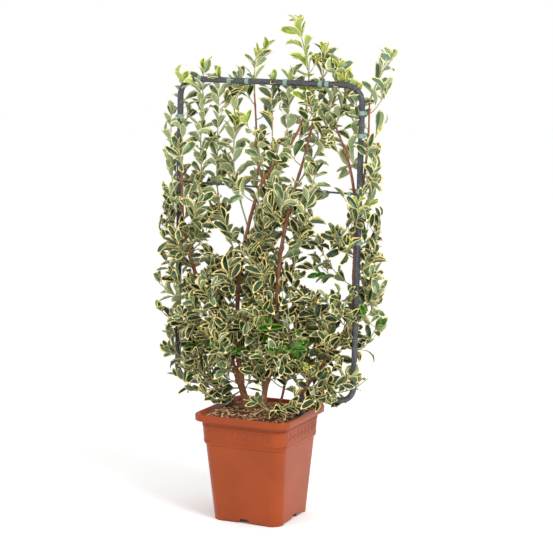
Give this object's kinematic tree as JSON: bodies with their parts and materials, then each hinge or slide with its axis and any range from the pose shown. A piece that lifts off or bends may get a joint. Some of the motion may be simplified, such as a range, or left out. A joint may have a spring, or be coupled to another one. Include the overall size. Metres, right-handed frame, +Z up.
{
  "type": "potted japanese spindle",
  "caption": "Variegated evergreen spindle shrub tied flat to a bent tube frame with crossbars, in a square tapering plastic pot with a rolled rim.",
  "frame": {"origin": "the middle of the pot's flat underside", "axes": "+Z up, -Y the pot's front and the side that the frame faces, +X the right side seen from the front"},
  "size_m": [0.7163, 0.2791, 1.3668],
  "materials": {
    "terracotta_plastic": "moulded polypropylene, satin",
    "bark_compost": "loose bark mulch over compost",
    "coated_tube": "dark grey coated steel tube",
    "woody_stem": "finely fissured brown bark",
    "variegated_leaf": "waxy leaf, green with a cream margin"
  },
  "bodies": {
    "root": {"bough_left_inner": "woody_stem", "bough_right_outer": "woody_stem", "bough_upper_left": "woody_stem", "compost": "bark_compost", "frame_left_leg": "coated_tube", "frame_left_upright": "coated_tube", "frame_lower_bar": "coated_tube", "frame_middle_bar": "coated_tube", "frame_right_leg": "coated_tube", "frame_right_upright": "coated_tube", "frame_top_bar": "coated_tube", "leaves_corner_shoot": "variegated_leaf", "leaves_low_back_1": "variegated_leaf", "leaves_low_back_2": "variegated_leaf", "leaves_low_back_3": "variegated_leaf", "leaves_low_front_1": "variegated_leaf", "leaves_low_front_2": "variegated_leaf", "leaves_low_front_3": "variegated_leaf", "leaves_mid_back_1": "variegated_leaf", "leaves_mid_back_2": "variegated_leaf", "leaves_mid_back_3": "variegated_leaf", "leaves_mid_back_4": "variegated_leaf", "leaves_mid_front_1": "variegated_leaf", "leaves_mid_front_2": "variegated_leaf", "leaves_mid_front_3": "variegated_leaf", "leaves_pot_front": "variegated_leaf", "leaves_tall_shoot": "variegated_leaf", "leaves_top_1": "variegated_leaf", "leaves_top_2": "variegated_leaf", "leaves_top_3": "variegated_leaf", "leaves_top_4": "variegated_leaf", "leaves_top_5": "variegated_leaf", "leaves_upper_1": "variegated_leaf", "leaves_upper_2": "variegated_leaf", "leaves_upper_3": "variegated_leaf", "leaves_upper_4": "variegated_leaf", "leaves_upper_5": "variegated_leaf", "leaves_waist_back_1": "variegated_leaf", "leaves_waist_back_2": "variegated_leaf", "leaves_waist_back_3": "variegated_leaf", "leaves_waist_back_4": "variegated_leaf", "leaves_waist_front_1": "variegated_leaf", "leaves_waist_front_2": "variegated_leaf", "leaves_waist_front_3": "variegated_leaf", "pot": "terracotta_plastic", "stem_left": "woody_stem", "stem_low_left": "woody_stem", "stem_low_right": "woody_stem", "stem_middle": "woody_stem", "stem_right": "woody_stem", "stem_thin": "woody_stem"}
  },
  "joints": []
}
